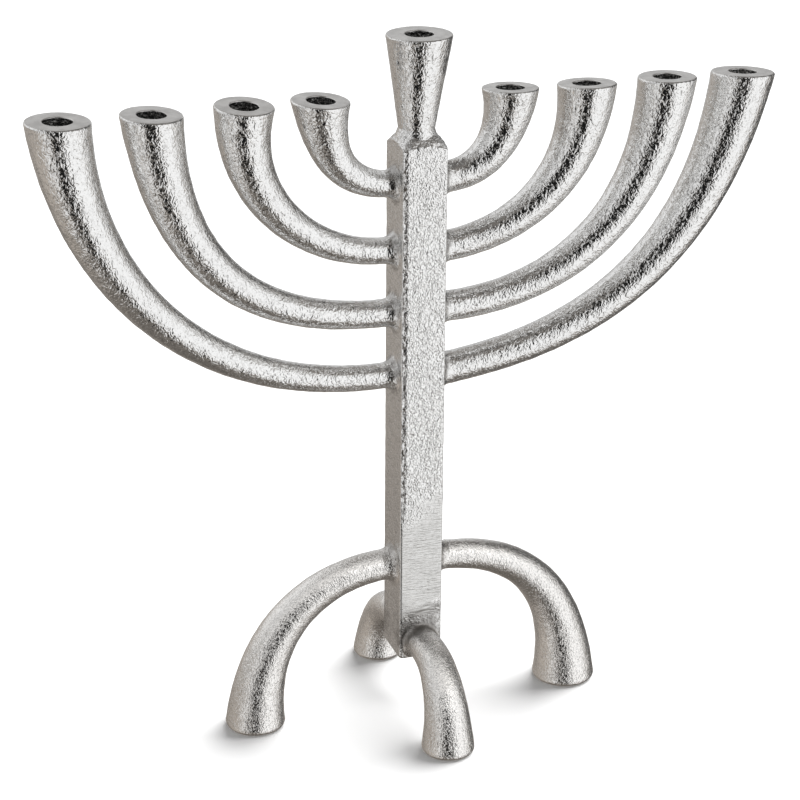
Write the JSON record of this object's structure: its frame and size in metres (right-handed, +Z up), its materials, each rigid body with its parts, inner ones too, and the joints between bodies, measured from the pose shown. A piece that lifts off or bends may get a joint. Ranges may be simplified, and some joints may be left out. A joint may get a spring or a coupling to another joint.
{
  "type": "menorah",
  "caption": "Cast metal menorah: square post, paired upward-curving tapered arms with candle sockets, raised centre cup and arched legs.",
  "frame": {"origin": "on the floor, straight under the middle of the post", "axes": "+X along the arms to the right, +Y to the back, +Z up along the post"},
  "size_m": [0.2699, 0.1, 0.2543],
  "materials": {
    "post_metal": "cast, lightly hammered and polished, with a brushed flat low on the front",
    "arm_metal": "cast skin polished bright over fine crinkles, rims ground to satin",
    "leg_metal": "cast, blasted and softly polished",
    "weld_metal": "rough weld, partly dressed"
  },
  "bodies": {
    "root": {"post": "post_metal", "arm_left_1": "arm_metal", "arm_left_2": "arm_metal", "arm_left_3": "arm_metal", "arm_left_4": "arm_metal", "arm_right_1": "arm_metal", "arm_right_2": "arm_metal", "arm_right_3": "arm_metal", "arm_right_4": "arm_metal", "shamash_cup": "arm_metal", "leg_left": "leg_metal", "leg_right": "leg_metal", "leg_front": "leg_metal", "leg_back": "leg_metal", "weld_arm_left_1": "weld_metal", "weld_arm_left_2": "weld_metal", "weld_arm_left_3": "weld_metal", "weld_arm_left_4": "weld_metal", "weld_arm_right_1": "weld_metal", "weld_arm_right_2": "weld_metal", "weld_arm_right_3": "weld_metal", "weld_arm_right_4": "weld_metal", "weld_leg_left": "weld_metal", "weld_leg_right": "weld_metal", "weld_leg_front": "weld_metal", "weld_leg_back": "weld_metal"}
  },
  "joints": []
}
